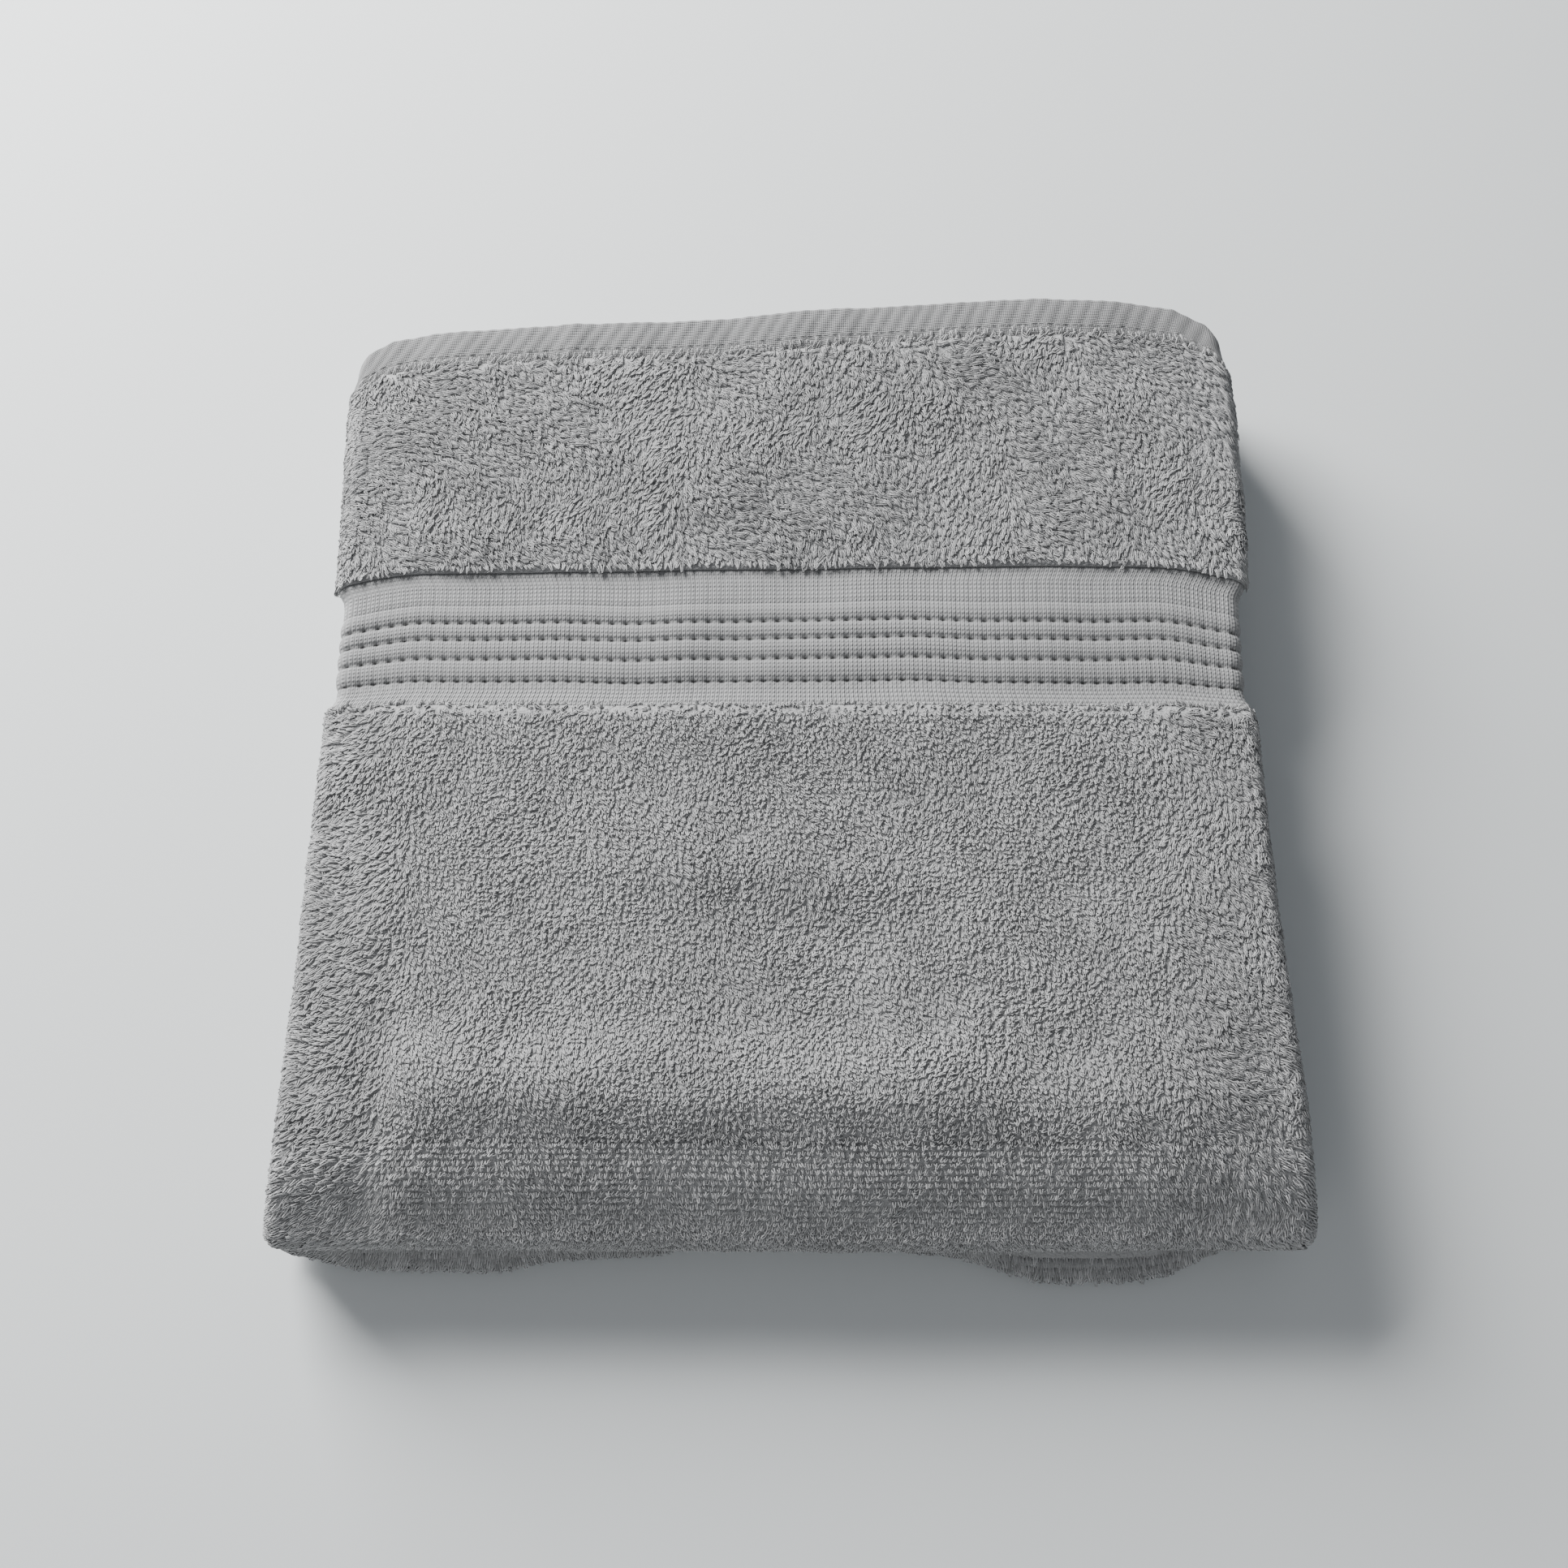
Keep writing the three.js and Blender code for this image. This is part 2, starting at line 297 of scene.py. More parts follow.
def ribbon(name, columns, rows, thickness, material, relief=None, origin=0.0):
    """A closed strip of cloth over columns (u) and rows (s), with relief added to its outer face."""
    u, s = np.meshgrid(columns, rows, indexing="ij")
    outer = thickness / 2 + (relief(u, s) if relief else 0)
    nu, ns = u.shape
    points = np.concatenate([place(u, s, outer).reshape(-1, 3),
                             place(u, s, -thickness / 2 + 0 * u).reshape(-1, 3)])
    index = np.arange(nu * ns).reshape(nu, ns)
    under = index + nu * ns
    a, b, c, d = index[:-1, :-1], index[1:, :-1], index[1:, 1:], index[:-1, 1:]
    top = np.stack([a, d, c, b], -1).reshape(-1, 4)
    bottom = np.stack([a, b, c, d], -1).reshape(-1, 4) + nu * ns
    rims = []
    for edge, flip in ((0, False), (-1, True)):
        e, f = index[edge], under[edge]
        quad = np.stack([e[:-1], e[1:], f[1:], f[:-1]], -1)
        rims.append(quad if flip else quad[:, ::-1])
        e, f = index[:, edge], under[:, edge]
        quad = np.stack([e[:-1], e[1:], f[1:], f[:-1]], -1)
        rims.append(quad[:, ::-1] if flip else quad)
    rims = np.concatenate(rims)
    faces = np.concatenate([top, bottom, rims])

    gu, gs = np.meshgrid(np.linspace(.01, .99, nu), np.linspace(0, 1, ns), indexing="ij")
    bake_top = np.stack([gu, .01 + .86 * gs], -1).reshape(-1, 2)
    bake_under = np.stack([gu, .89 + .07 * gs], -1).reshape(-1, 2)
    both = np.concatenate([bake_top, bake_under])
    bake = np.concatenate([both[top.ravel()], both[bottom.ravel()], rim_uvs(len(rims))])
    cloth = np.stack([u, s - origin], -1).reshape(-1, 2) / UV_SCALE
    cloth = np.concatenate([cloth, cloth])[faces.ravel()]
    return new_object(name, points, faces, material, {"cloth": cloth, "OFBake": bake})


def rim_uvs(count):
    """Small separate cells along the top of the bake square, one for each rim face."""
    left = .01 + .98 * np.arange(count) / count
    right = left + .98 / count * .8
    cell = np.stack([np.stack([left, 0 * left + .972], -1), np.stack([right, 0 * left + .972], -1),
                     np.stack([right, 0 * left + .99], -1), np.stack([left, 0 * left + .99], -1)], 1)
    return cell.reshape(-1, 2)


def across(face_step, flap_step, arc_steps=12):
    """Columns across the whole cloth, closest together where it folds."""
    face = np.linspace(-FACE_HALF, FACE_HALF, int(round(2 * FACE_HALF / face_step)) + 1)
    arc = FACE_HALF + ARC * np.linspace(0, 1, arc_steps + 1)[1:]
    flap = np.linspace(arc[-1], U_MAX, int(round((U_MAX - arc[-1]) / flap_step)) + 1)[1:]
    right = np.concatenate([arc, flap])
    return np.concatenate([-right[::-1], face, right])


def along(start, end, pitch):
    """Evenly spaced rows, about pitch apart."""
    return np.linspace(start, end, max(2, int(round((end - start) / pitch)) + 1))


# ---------------------------------------------------------------------------
# Materials
# ---------------------------------------------------------------------------

class Nodes:
    """Builds a material's node tree with short calls."""

    def __init__(self, name):
        self.material = bpy.data.materials.new(name)
        self.material.use_nodes = True
        self.tree = self.material.node_tree
        self.shader = self.tree.nodes["Principled BSDF"]

    def node(self, kind, **settings):
        made = self.tree.nodes.new(kind)
        for key, value in settings.items():
            setattr(made, key, value)
        return made

    def put(self, socket, value):
        if isinstance(value, bpy.types.NodeSocket):
            self.tree.links.new(value, socket)
        else:
            socket.default_value = value

    def math(self, operation, a, b=0.0, c=0.0):
        made = self.node("ShaderNodeMath", operation=operation)
        for socket, value in zip(made.inputs, (a, b, c)):
            self.put(socket, value)
        return made.outputs[0]

    def total(self, value, *terms):
        """The value, plus each term times its share."""
        for term, share in terms:
            value = self.math("MULTIPLY_ADD", term, share, value)
        return value

    def wave(self, x, pitch, phase=0.0):
        """From 0 to 1 and back once every pitch."""
        turn = self.math("MULTIPLY_ADD", x, 2 * math.pi / pitch, phase)
        return self.math("MULTIPLY_ADD", self.math("COSINE", turn), .5, .5)

    def hump(self, x, middle, width):
        """1 at the middle, falling smoothly to 0 at width from it."""
        away = self.math("ABSOLUTE", self.math("SUBTRACT", x, middle))
        made = self.node("ShaderNodeMapRange", interpolation_type="SMOOTHSTEP")
        self.put(made.inputs["Value"], away)
        made.inputs["From Min"].default_value = width
        made.inputs["From Max"].default_value = 0
        return made.outputs[0]

    def grey(self, value):
        made = self.node("ShaderNodeCombineColor")
        for socket in made.inputs:
            self.put(socket, value)
        return made.outputs[0]

    def speckle(self, scale, detail=2.0):
        """Fine noise fixed to the object."""
        place_node = self.node("ShaderNodeTexCoord")
        made = self.node("ShaderNodeTexNoise")
        self.put(made.inputs["Vector"], place_node.outputs["Object"])
        made.inputs["Scale"].default_value = scale
        made.inputs["Detail"].default_value = detail
        return made.outputs["Fac"]

    def finish(self, colour, height, distance, roughness=.95):
        """A matt material with a little sheen, and bumps distance metres high."""
        self.put(self.shader.inputs["Base Color"], colour)
        self.shader.inputs["Roughness"].default_value = roughness
        self.shader.inputs["Sheen Weight"].default_value = .06
        self.shader.inputs["Sheen Roughness"].default_value = .5
        self.shader.inputs["Specular IOR Level"].default_value = .25
        made = self.node("ShaderNodeBump")
        made.inputs["Strength"].default_value = .8
        made.inputs["Distance"].default_value = distance
        self.put(made.inputs["Height"], height)
        self.put(self.shader.inputs["Normal"], made.outputs[0])
        return self.material


# The weave, in millimetres: the header and the rows of dashes by distance from the border's start, the
# pitches across it, and the hem's slanted ribs and its line of stitching by distance from its near edge
DASH_LINES = (21.0, 28.0, 36.0, 45.0)
DASH_PITCH = 5.3
THREAD_PITCH = 1.65
HEADER_END = 14.0
HEM_PITCH = 5.75
HEM_SLANT = .55
SEAM_INSET = 2.6
UV_SCALE = 100.0  # millimetres for one unit of the cloth's UV map


def pile_material():
    """The loops: a grey that varies by loop, with painted shade that darkens each loop towards its roots."""
    m = Nodes("terry_pile")
    tone = m.node("ShaderNodeAttribute", attribute_name="tone").outputs["Fac"]
    # Painted shade: the colour is darker near each loop's roots and full at its tip, where shade falls
    # between the loops
    root_shade_fade = m.node("ShaderNodeAttribute", attribute_name="root_shade_fade").outputs["Fac"]
    value = m.math("MULTIPLY", m.total(.30, (tone, .20)), m.total(.90, (root_shade_fade, .12)))
    return m.finish(m.grey(value), m.speckle(2600), .0002)


def ground_material():
    """The woven ground under the pile."""
    m = Nodes("terry_ground")
    value = m.total(.30, (m.speckle(700, 3), .12))
    return m.finish(m.grey(value), m.speckle(900, 3), .0012)


def cloth_axes(m):
    """Millimetres across the cloth and along it from its piece's start."""
    uv = m.node("ShaderNodeUVMap", uv_map="cloth")
    split = m.node("ShaderNodeSeparateXYZ")
    m.put(split.inputs[0], uv.outputs[0])
    return [m.math("MULTIPLY", split.outputs[k], UV_SCALE) for k in (0, 1)]


def border_material():
    """The border's header of small blocks, dark dashes in rows, fine threads and plain end."""
    m = Nodes("dobby_weave")
    u, d = cloth_axes(m)
    fine = m.math("MULTIPLY", m.wave(u, THREAD_PITCH), m.wave(d, THREAD_PITCH))
    header = m.math("MULTIPLY", m.hump(d, 10.0, 5.2), fine)
    lines = None
    for middle in DASH_LINES:
        line = m.hump(d, middle, .95)
        lines = line if lines is None else m.math("MAXIMUM", lines, line)
    dash = m.math("POWER", m.wave(u, DASH_PITCH), 1.3)
    dark = m.math("MULTIPLY", lines, m.math("MULTIPLY_ADD", dash, .72, .22))
    ticks = m.math("MULTIPLY", m.hump(d, 47.0, 1.2), m.wave(u, DASH_PITCH, math.pi))
    cords = m.math("MULTIPLY", m.wave(u, THREAD_PITCH), .5)
    blocks = m.math("POWER", m.wave(u, DASH_PITCH), 10.0)
    weave = m.math("MULTIPLY", m.wave(u, THREAD_PITCH), m.wave(d, 1.3, .6))
    plain_end = m.hump(d, 51.5, 6.0)
    value = m.total(.225, (header, .15), (cords, .05), (weave, .05), (blocks, -.03),
                    (plain_end, .09), (ticks, -.06), (m.speckle(1500), .06))
    value = m.math("MULTIPLY", value, m.math("SUBTRACT", 1.0, m.math("MULTIPLY", dark, .90)))
    value = m.total(value, (m.hump(d, HEADER_END, .7), .05))
    height = m.math("ADD", fine, m.math("MULTIPLY", m.wave(u, .83), .5))
    return m.finish(m.grey(value), height, .0003)


def hem_material():
    """The hem's slanted ribs, with paler dashes between them."""
    m = Nodes("hem_weave")
    u, d = cloth_axes(m)
    slant = m.math("MULTIPLY_ADD", d, HEM_SLANT, u)
    rib = m.wave(slant, HEM_PITCH)
    dash = m.math("MULTIPLY", m.math("POWER", m.math("SUBTRACT", 1.0, rib), 2.0), m.wave(d, 1.5))
    value = m.total(.25, (rib, -.03), (dash, .06), (m.speckle(1500), .05))
    height = m.math("ADD", m.wave(d, .75), m.math("MULTIPLY", m.wave(u, .8), .6))
    return m.finish(m.grey(value), height, .0003)


def thread_material():
    """The stitches' thread."""
    m = Nodes("seam_thread")
    return m.finish((.27, .27, .27, 1), m.speckle(3000), .0001, roughness=.8)


PILE = pile_material()
GROUND = ground_material()
BORDER = border_material()
HEMS = hem_material()
THREAD = thread_material()


# ---------------------------------------------------------------------------
# The woven cloth under the pile
# ---------------------------------------------------------------------------

GROUND_THICK = 4.0
LOOSE = .8  # how much thinner the woven pieces are than their solids, to leave room for their relief
LONG_STRETCH, COARSE_ROWS, FINE_ROWS = 90, 4.0, 2.5
PLAIN_COLUMNS = across(4.5, 6)
FINE_COLUMNS = across(.8, 5)


def border_relief(start):
    """The border's header, ribs and dashes, for a border that starts at start."""
    def relief(u, s):
        d = s - start
        rise = np.zeros_like(d)
        edges = (HEADER_END,) + DASH_LINES
        for near, far in zip(edges[:-1], edges[1:]):
            t = np.clip((d - near) / (far - near), 0, 1)
            rise += .8 * np.sin(math.pi * t) ** .8
        rise += .35 * step(3, 6, d) * (1 - step(12.5, HEADER_END, d))
        rise += .35 * step(46, 48, d)
        dash = (.5 + .5 * np.cos(2 * math.pi * u / DASH_PITCH)) ** 3
        for line in DASH_LINES:
            rise -= bump(d, line, .9) * (.18 + .7 * dash)
        rise -= .12 * (.5 + .5 * np.cos(2 * math.pi * u / DASH_PITCH)) ** 6
        wave = .45 * noise(u, s * 0, 16, 31)
        return rise + wave * step(10, 20, d) * (1 - step(44, 50, d))
    return relief


def hem_relief(start):
    """The hem's slanted ribs, puckers and rounded edges, for a hem that starts at start."""
    def relief(u, s):
        d = s - start
        rib = .5 + .5 * np.cos(2 * math.pi * (u + HEM_SLANT * d) / HEM_PITCH)
        puckers = .5 * noise(u, s * 0, 9, 41)
        half = HEM_LENGTH / 2
        rolled = np.sqrt(np.clip(1 - ((d - half) / (1.5 * half)) ** 2, 0, 1))
        return .30 * rib + puckers - 1.8 * (1 - rolled)
    return relief


def terry(name, start, end):
    """A stretch of terry's woven ground."""
    pitch = COARSE_ROWS if end - start > LONG_STRETCH else FINE_ROWS
    obj = ribbon(name, PLAIN_COLUMNS, along(start, end, pitch), GROUND_THICK, GROUND)
    return obj


def woven(name, start, end, thickness, material, relief, rows):
    """A stretch of flat weave with relief on its outer face."""
    obj = ribbon(name, FINE_COLUMNS, np.linspace(start, end, rows), thickness - LOOSE, material, relief,
                 start)
    return obj


# ---------------------------------------------------------------------------
# Loops of the pile
# ---------------------------------------------------------------------------

YARN = .27  # the radius of a loop's yarn
TUBE_SIDES = 3


def tubes(paths, radius):
    """Three-sided yarn along each path: paths is (loops, points, 3), each a hairpin."""
    count, length, _ = paths.shape
    tangent = np.gradient(paths, axis=1)
    tangent /= np.linalg.norm(tangent, axis=-1, keepdims=True) + 1e-9
    side = np.cross(paths[:, length // 2] - paths[:, 0], paths[:, -1] - paths[:, 0])
    side /= np.linalg.norm(side, axis=-1, keepdims=True) + 1e-9
    side = np.repeat(side[:, None], length, 1)
    up = np.cross(side, tangent)
    turns = 2 * math.pi * np.arange(TUBE_SIDES) / TUBE_SIDES + .5
    ring = (side[:, :, None] * np.cos(turns)[None, None, :, None]
            + up[:, :, None] * np.sin(turns)[None, None, :, None])
    points = paths[:, :, None] + ring * radius[:, :, None, None]
    index = np.arange(count * length * TUBE_SIDES).reshape(count, length, TUBE_SIDES)
    quads = []
    for k in range(TUBE_SIDES):
        n = (k + 1) % TUBE_SIDES
        quads.append(np.stack([index[:, :-1, k], index[:, 1:, k], index[:, 1:, n], index[:, :-1, n]], -1))
    quads = np.stack(quads, 2)
    caps = np.concatenate([index[:, 0], index[:, -1, ::-1]])
    return points.reshape(-1, 3), quads.reshape(-1, 4), caps


def loop_uvs(count, length):
    """One cell of the bake square for each loop, unrolled in it."""
    side = int(math.ceil(math.sqrt(count)))
    cell = 1.0 / side
    i, j = np.arange(count) % side, np.arange(count) // side
    v = np.linspace(.08, .92, length)
    k = np.linspace(.08, .80, TUBE_SIDES + 1)
    corner = np.zeros((length - 1, TUBE_SIDES, 4, 2))
    for a in range(length - 1):
        for b in range(TUBE_SIDES):
            corner[a, b] = [(k[b], v[a]), (k[b], v[a + 1]), (k[b + 1], v[a + 1]), (k[b + 1], v[a])]
    base = np.stack([i, j], -1)[:, None, None, None] * cell
    quads = (base + corner[None] * cell).reshape(-1, 2)
    cap = np.array([[(.84, .1), (.94, .1), (.94, .3)], [(.84, .5), (.94, .5), (.94, .7)]]) * cell
    corner_cell = np.stack([i, j], -1)[:, None] * cell
    first = (corner_cell + cap[0][None]).reshape(-1, 2)
    last = (corner_cell + cap[1][None]).reshape(-1, 2)
    return np.concatenate([quads, first, last])


# A hairpin's six points: across it, along its lean and up, with the yarn's thickness and nearness to the
# tip, which fades the painted shade at the roots
LOOP_SHAPE = [(-.50, 0, 0), (-.60, .22, .70), (-.36, .90, .95),
              (.30, 1.0, .88), (.62, .30, .74), (.50, .05, 0)]
LOOP_TAPER = np.array([.8, .95, 1.05, 1.05, .95, .8])
LOOP_ROOT_SHADE_FADE = np.array([0, .6, 1, 1, .6, 0])
LOOP_ROOT, LOOP_SUNK = 1.3, .55  # where a loop starts, and how much of its height is in the ground


def loops_at(u, s, lean, reach, height, tone, rng):
    """Hairpin loops rooted at (u, s), leaning by angle lean for reach millimetres."""
    n = len(u)
    along_u, along_s = np.cos(lean), np.sin(lean)
    wide = rng.uniform(.50, .85, n)
    twist = rng.uniform(-.5, .5, n)
    us, ss, offs = [], [], []
    for p, l, h in LOOP_SHAPE:
        p = p * wide + twist * l
        us.append(u - along_s * p + along_u * l * reach)
        ss.append(s + along_u * p + along_s * l * reach)
        offs.append(LOOP_ROOT + h * (height - LOOP_SUNK))
    paths = place(np.stack(us, 1), np.stack(ss, 1), np.stack(offs, 1))
    radius = YARN * LOOP_TAPER * rng.uniform(.85, 1.15, n)[:, None]
    # Painted shade at the roots, by each point's nearness to the loop's tip
    root_shade_fades = np.repeat(np.tile(LOOP_ROOT_SHADE_FADE, n), TUBE_SIDES)
    tones = np.repeat(tone, TUBE_SIDES * len(LOOP_SHAPE))
    return paths, radius, root_shade_fades, tones


def pile(name, start, end, pitch_u, pitch_s, lay, seed,
         u_from=-PILE_EDGE, u_to=PILE_EDGE, jitter=.16):
    """A stretch of looped pile from start to end. lay gives each loop's lean, reach, height and tone."""
    rng = np.random.default_rng(seed)
    face = np.arange(-FACE_HALF, FACE_HALF + 1e-6, 2 * FACE_HALF / round(2 * FACE_HALF / pitch_u))
    arc = np.arange(FACE_HALF + pitch_u / 2, PILE_EDGE, pitch_u / 2)
    flap = np.arange(PILE_EDGE, U_MAX, pitch_u)
    columns = np.concatenate([-flap[::-1], -arc[::-1], face, arc, flap])
    columns = columns[(columns >= u_from) & (columns < u_to)]
    rows = np.arange(start + pitch_s / 2, end, (end - start) / max(1, round((end - start) / pitch_s)))
    u, s = np.meshgrid(columns, rows, indexing="ij")
    u = u + np.where(np.arange(len(rows)) % 2, .25, -.25)[None] * pitch_u
    u, s = u.ravel(), s.ravel()
    u = u + rng.normal(0, .16, len(u)) * pitch_u
    s = s + rng.normal(0, jitter, len(s)) * pitch_s
    s = np.clip(s, start + .2, end - .2)
    lean, reach, height, tone = lay(u, s, rng)
    paths, radius, root_shade_fades, tones = loops_at(u, s, lean, reach, height, tone, rng)
    points, quads, caps = tubes(paths, radius)
    # The painted root shade is stored on the points, with each loop's tone
    obj = new_object(name, points, [quads, caps], PILE,
                     {"OFBake": loop_uvs(len(u), paths.shape[1])}, {"root_shade_fade": root_shade_fades, "tone": tones})
    return obj


def piles(name, start, end, pitch_u, pitch_s, lay, seed, edges, body):
    """A stretch of pile in pieces side by side, parted at the edges, that all ride on one body."""
    for k, (left, right) in enumerate(zip(edges[:-1], edges[1:])):
        obj = pile(f"{name}_{k + 1}", start, end, pitch_u, pitch_s, lay, seed + k, left, right)
        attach(obj, body)


def tone_of(u, s, rng):
    """How pale each loop is, in soft patches."""
    patch = .20 * noise(u, s, 19, 51) + .16 * noise(u, s, 7, 52)
    return np.clip(.5 + patch + rng.normal(0, .09, len(u)), 0, 1)


def lay_strip(u, s, rng):
    """Long loops that lie in swirls, and hang over the border's edge."""
    over = step(at(STRIP_NEAR) - 6, at(STRIP_NEAR), s)
    lean = 1.15 + 1.0 * noise(u, s, 30, 61) + .6 * noise(u, s, 11, 62) - .25 * u / FACE_HALF
    lean = lean * (1 - over) + over * (1.45 - .3 * np.sign(u)) + rng.normal(0, .33, len(u))
    near_hem = (1 - step(hem_end - 1, hem_end + 5, s)) * (rng.random(len(u)) > .45)
    lean = lean * (1 - near_hem) - near_hem * (math.pi / 2 + .5 * noise(u, s * 0, 9, 65))
    reach = 4.0 + .9 * noise(u, s, 18, 63) + rng.normal(0, .6, len(u)) - 1.4 * over - 2.0 * near_hem
    height = 2.0 + .35 * noise(u, s, 12, 64) + rng.normal(0, .22, len(u)) + .35 * over
    return lean, np.clip(reach, 1.8, 5.6), np.clip(height, 1.2, 2.8), tone_of(u, s, rng)


def lay_field(u, s, rng):
    """Shorter loops that mostly lie along the towel, and outward and longer at its sides."""
    side = step(118, 160, np.abs(u + 3))
    edge = step(at(BORDER_NEAR) + 3.5, at(BORDER_NEAR), s)
    lean = math.pi / 2 + .55 * noise(u, s, 22, 71) + .45 * noise(u, s, 8, 72)
    lean = lean - side * np.sign(u) * (.75 + .6 * noise(u, s, 20, 73))
    lean = lean + rng.normal(0, .36 + .9 * edge, len(u)) + math.pi * edge * (rng.random(len(u)) > .35)
    reach = 2.0 + 1.3 * side + .5 * noise(u, s, 15, 74) + rng.normal(0, .4, len(u)) - .5 * edge
    height = 2.05 + .3 * noise(u, s, 12, 75) + rng.normal(0, .2, len(u)) - .5 * edge
    return lean, np.clip(reach, .9, 5.2), np.clip(height, 1.1, 2.75), tone_of(u, s, rng)


def lay_roll(u, s, rng):
    """Loops in rows that open where the cloth bends round the front, longer near its ends, and paler with
    painted light on the shaded front.
    """
    side = step(112, 160, np.abs(u + 3))
    lean = math.pi / 2 + .55 * noise(u, s, 22, 71) + .3 * noise(u, s, 8, 72) + rng.normal(0, .30, len(u))
    lean = lean - side * np.sign(u) * (.75 + .6 * noise(u, s, 20, 73))
    reach = 1.7 + 1.7 * side + rng.normal(0, .3, len(u))
    height = 2.15 + .25 * noise(u, s, 12, 82) + rng.normal(0, .25, len(u))
    # Painted light: the roll's loops are .25 paler to lift its shaded front; the random spread is the loops'
    # own tone
    tone = tone_of(u, s, rng) + .25 + rng.normal(0, .3, len(u))
    return lean, np.clip(reach, .9, 5.0), np.clip(height, 1.2, 2.9), np.clip(tone, 0, 1.6)


def lay_inside(u, s, rng):
    """Flattened loops between the plies and under the towel."""
    lean = math.pi / 2 + .9 * noise(u, s, 24, 91) + rng.normal(0, .4, len(u))
    reach = 3.2 + rng.normal(0, .5, len(u))
    height = 1.95 + rng.normal(0, .2, len(u))
    return lean, np.clip(reach, 1.4, 4.6), np.clip(height, 1.2, 2.4), tone_of(u, s, rng)


# ---------------------------------------------------------------------------
# The towel, stretch by stretch
# ---------------------------------------------------------------------------


def at(y):
    """s on the top ply at a place along the towel."""
    return FAR_Y - y


def roll_s(angle):
    """s on the roll at an angle in degrees: 90 on top, 180 in front, 270 underneath."""
    return STARTS[ROLL] + (angle - 90) / 180 * LENGTHS[ROLL]


def inner_at(y):
    """s on the upper inner ply at a place along the towel."""
    return STARTS[INNER_PLY] + y - ROLL_Y


WHOLE_SIDES = ("left_flap", "right_flap", "left_side_hem", "right_side_hem")
SPAN = 7.0  # how far the roll's first and last stretch reach into the flat plies
HEM_TUCK = 2.5  # how far the hem's cloth reaches past the hem, under the pile
OVER_HEM = 1.8  # how far the pile starts over the hem's cloth
OVERHANG = 2.4  # the strip's long loops lean over the border, so they are rooted this far short of it
OVER_BORDER = .8  # how far the field's pile starts over the border

# Top ply
top_cut = STARTS[ROLL] - SPAN
hem_end = at(HEM_NEAR) + HEM_TUCK
hem = woven("top_hem_cloth", 0, hem_end, HEM, HEMS, hem_relief(0), 20)
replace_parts(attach(hem, "top_ply"), "top_end_hem")
strip = terry("top_strip_cloth", hem_end, at(STRIP_NEAR))
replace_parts(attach(strip, "top_ply"), "top_end_strip")
border = woven("top_border_cloth", at(STRIP_NEAR), at(BORDER_NEAR), WEAVE, BORDER,
               border_relief(at(STRIP_NEAR)), 74)
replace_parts(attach(border, "top_ply"), "top_dobby_border")
field = terry("top_field_cloth", at(BORDER_NEAR), top_cut)
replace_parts(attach(field, "top_ply"), "top_panel", *["top_" + n for n in WHOLE_SIDES])

pile_start = hem_end - OVER_HEM
piles("top_strip_pile", pile_start, at(STRIP_NEAR) - OVERHANG, 1.32, 1.6, lay_strip, 100,
      (-PILE_EDGE, -62, 62, PILE_EDGE), "top_ply")
piles("top_field_pile", at(BORDER_NEAR) - OVER_BORDER, top_cut, 1.32, 1.45, lay_field, 110,
      (-PILE_EDGE, -122, -42, 42, 122, PILE_EDGE), "top_ply")
for number, (left, right) in enumerate(((-U_MAX, -PILE_EDGE), (PILE_EDGE, U_MAX)), 1):
    flap = pile(f"top_flap_pile_{number}", pile_start, at(STRIP_NEAR), 2.4, 2.4, lay_inside, 120 + number,
                left, right)
    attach(flap, "top_ply")

# Front roll: three stretches, cut at 150 and 210 degrees round the roll
CUTS = [STARTS[BOTTOM_PLY] + SPAN, roll_s(210), roll_s(150), top_cut]
STANDS_FOR = [("front_roll_1", "front_roll_2"), ("front_roll_3", "front_roll_4"),
              ("front_roll_5", "front_roll_6")]
for k in range(3):
    start, end = CUTS[k + 1], CUTS[k]
    pieces = [terry(f"roll_cloth_{k + 1}", start, end),
              pile(f"roll_pile_{k + 1}", start, end, 1.35, 1.8, lay_roll, 130 + k, jitter=.07)]
    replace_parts(pieces[0], *STANDS_FOR[k])
    for obj in pieces:
        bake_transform(obj)

# Bottom ply, back crease and lower inner ply
bottom = terry("bottom_cloth", CUTS[0], STARTS[BACK])
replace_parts(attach(bottom, "lower_half"), "bottom_panel", *["bottom_" + n for n in WHOLE_SIDES])
piles("bottom_pile", CUTS[0], STARTS[BACK], 3.3, 3.3, lay_inside, 140,
      (-PILE_EDGE, 0, PILE_EDGE), "lower_half")
back = terry("back_crease_cloth", STARTS[BACK], STARTS[LOWER_PLY])
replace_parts(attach(back, "lower_half"), "back_crease")
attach(pile("back_crease_pile", STARTS[BACK], STARTS[LOWER_PLY], 2.2, 2.0, lay_roll, 145), "lower_half")
lower = terry("inner_lower_cloth", STARTS[LOWER_PLY], STARTS[CREASE])
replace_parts(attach(lower, "lower_half"), "inner_lower_panel", *["inner_lower_" + n for n in WHOLE_SIDES])
piles("inner_lower_pile", STARTS[LOWER_PLY], STARTS[CREASE], 2.7, 2.8, lay_inside, 150,
      (-PILE_EDGE, -60, 60, PILE_EDGE), "lower_half")

# Inner crease: its cloth bends sharply at mid-height, where it has no pile
HALF_BARE = 2.5
nose = terry("inner_crease_cloth", STARTS[CREASE], STARTS[INNER_PLY])
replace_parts(nose, "inner_crease_lower", "inner_crease_upper")
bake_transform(nose)
crease_middle = (STARTS[CREASE] + STARTS[INNER_PLY]) / 2
lower_pile = pile("inner_crease_pile_1", STARTS[CREASE], crease_middle - HALF_BARE, 2.7, 2.6,
                  lay_inside, 155)
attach(lower_pile, "lower_half")
upper_pile = pile("inner_crease_pile_2", crease_middle + HALF_BARE, STARTS[INNER_PLY], 2.7, 2.6,
                  lay_inside, 156)
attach(upper_pile, "inner_ply")

